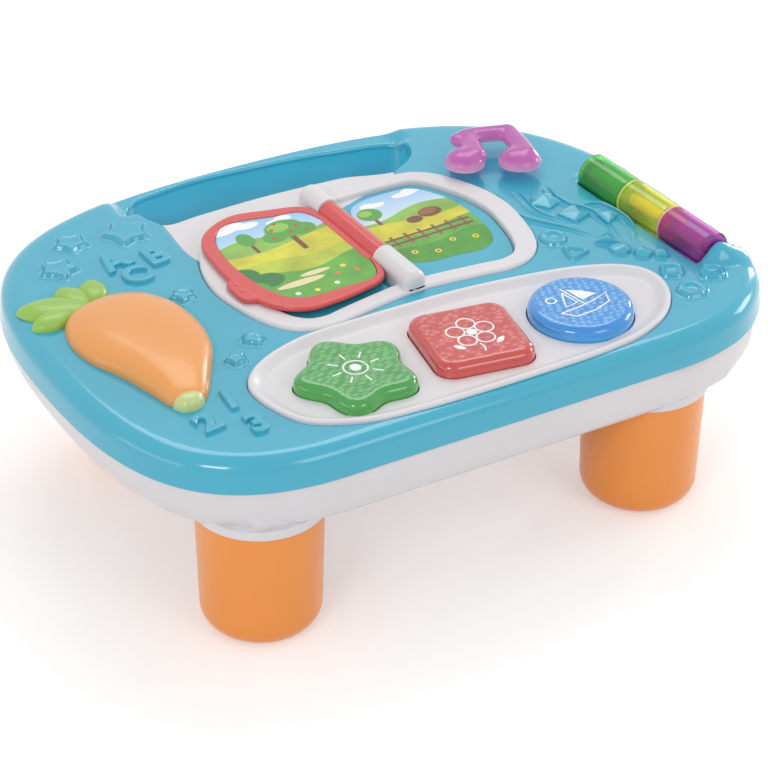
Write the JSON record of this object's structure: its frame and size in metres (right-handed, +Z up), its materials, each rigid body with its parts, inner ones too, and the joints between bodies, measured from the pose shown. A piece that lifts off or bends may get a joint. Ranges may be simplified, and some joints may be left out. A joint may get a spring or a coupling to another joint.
{
  "type": "musical activity table",
  "caption": "Low table for a small child: turning page, push buttons, note-shaped key, roller and moulded relief on a hollow top with plug-in legs and a carrying slot.",
  "frame": {"origin": "on the floor, under the middle of the table top", "axes": "+X to the right along the straight front edge, +Y to the back where the carrying slot is, +Z up"},
  "size_m": [0.4278, 0.319, 0.1487],
  "materials": {
    "white_plastic": "glossy moulded white",
    "blue_plastic": "glossy moulded light blue",
    "orange_plastic": "glossy moulded orange",
    "leaf_plastic": "glossy moulded pale green",
    "red_plastic": "glossy moulded red",
    "green_translucent": "glossy, lets some light through",
    "red_translucent": "glossy, lets some light through",
    "blue_translucent": "glossy, lets some light through",
    "pink_translucent": "glossy, lets some light through",
    "yellow_translucent": "glossy, lets some light through",
    "purple_translucent": "glossy, lets some light through",
    "printed_card": "printed, satin",
    "steel": "plain steel",
    "rubber": "matt silicone",
    "circuit_board": "green laminate",
    "black_parts": "matt black"
  },
  "bodies": {
    "table": {"bottom_housing": "white_plastic", "top_shell": "blue_plastic", "battery_door": "white_plastic", "book_frame": "white_plastic", "book_base": "blue_plastic", "left_picture_card": "printed_card", "right_picture_card": "printed_card", "hinge_pin": "steel", "rear_spine_cap": "white_plastic", "front_spine_cap": "white_plastic", "button_tray": "white_plastic", "button_circuit_board": "circuit_board", "note_circuit_board": "circuit_board", "carrot_body": "orange_plastic", "carrot_leaves": "leaf_plastic", "carrot_tip": "leaf_plastic", "speaker": "black_parts", "left_battery_contact": "steel", "right_battery_contact": "steel", "leg_front_left": "orange_plastic", "leg_front_right": "orange_plastic", "leg_back_left": "orange_plastic", "leg_back_right": "orange_plastic", "housing_screw_1": "steel", "housing_screw_2": "steel", "housing_screw_3": "steel", "housing_screw_4": "steel", "housing_screw_5": "steel", "housing_screw_6": "steel", "battery_door_screw": "steel", "star_rubber_pad": "rubber", "square_rubber_pad": "rubber", "circle_rubber_pad": "rubber", "note_left_rubber_pad": "rubber", "note_right_rubber_pad": "rubber", "star_light": "white_plastic", "square_light": "white_plastic", "circle_light": "white_plastic", "battery_1": "black_parts", "battery_2": "black_parts", "battery_3": "black_parts"},
    "page": {"page_frame": "red_plastic", "page_picture_card": "printed_card"},
    "star_key": {"star_button": "green_translucent"},
    "square_key": {"square_button": "red_translucent"},
    "circle_key": {"circle_button": "blue_translucent"},
    "note": {"note_key": "pink_translucent"},
    "roller": {"roller_axle": "steel", "roller_drum_purple": "purple_translucent", "roller_drum_yellow": "yellow_translucent", "roller_drum_green": "green_translucent", "roller_end_disc": "green_translucent"},
    "power_switch": {"power_switch_knob": "orange_plastic"}
  },
  "joints": [
    {"name": "page_hinge", "type": "hinge", "parent": "table", "child": "page", "pos_m": [0.0098, 0.0313, 0.1354], "axis": [-0.0384, 0.9993, 0], "range_deg": [0, 178]},
    {"name": "star_press", "type": "slide", "parent": "table", "child": "star_key", "axis": [0, 0, 1], "range_m": [-0.002, 0], "stiffness_N_per_m": 800, "springref_m": 0.001, "deforming": ["star_rubber_pad"]},
    {"name": "square_press", "type": "slide", "parent": "table", "child": "square_key", "axis": [0, 0, 1], "range_m": [-0.002, 0], "stiffness_N_per_m": 800, "springref_m": 0.001, "deforming": ["square_rubber_pad"]},
    {"name": "circle_press", "type": "slide", "parent": "table", "child": "circle_key", "axis": [0, 0, 1], "range_m": [-0.002, 0], "stiffness_N_per_m": 800, "springref_m": 0.001, "deforming": ["circle_rubber_pad"]},
    {"name": "note_press", "type": "slide", "parent": "table", "child": "note", "axis": [0, 0, 1], "range_m": [-0.001, 0], "stiffness_N_per_m": 800, "springref_m": 0.001, "deforming": ["note_left_rubber_pad", "note_right_rubber_pad"]},
    {"name": "roller_spin", "type": "hinge", "parent": "table", "child": "roller", "pos_m": [0.182, -0.034, 0.136], "axis": [-0.0767, 0.9971, 0], "continuous": true},
    {"name": "power_switch_slide", "type": "slide", "parent": "table", "child": "power_switch", "axis": [1, 0, 0], "range_m": [0, 0.006]}
  ]
}
